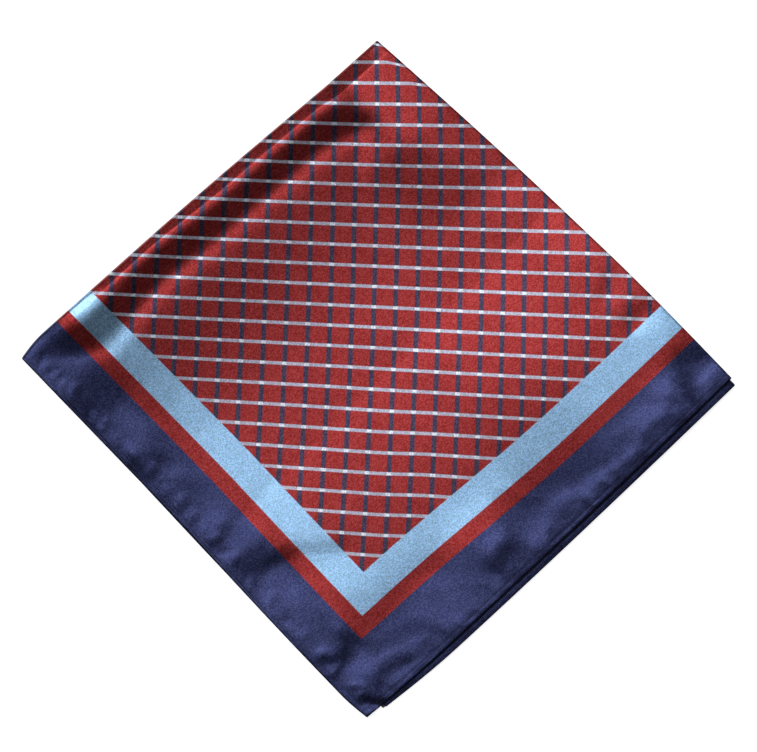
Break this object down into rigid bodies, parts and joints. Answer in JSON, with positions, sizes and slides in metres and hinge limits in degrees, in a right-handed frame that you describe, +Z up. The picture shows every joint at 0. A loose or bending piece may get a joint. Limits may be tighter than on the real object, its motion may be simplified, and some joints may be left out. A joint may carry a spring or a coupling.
{
  "type": "neckerchief",
  "caption": "Square satin neckerchief with a checked middle and banded border, folded into quarters and lying flat.",
  "frame": {"origin": "centre of the folded cloth's bounding box, on the surface it lies on", "axes": "+Z up from the surface, +Y towards the folded corner (the middle of the cloth), +X towards the right-hand corner"},
  "size_m": [0.3641, 0.345, 0.0089],
  "materials": {
    "satin": "printed satin with a soft sheen: red ground with a navy and light blue check, light blue, red and navy border bands"
  },
  "bodies": {
    "root": {"folded_square": "satin"}
  },
  "joints": []
}
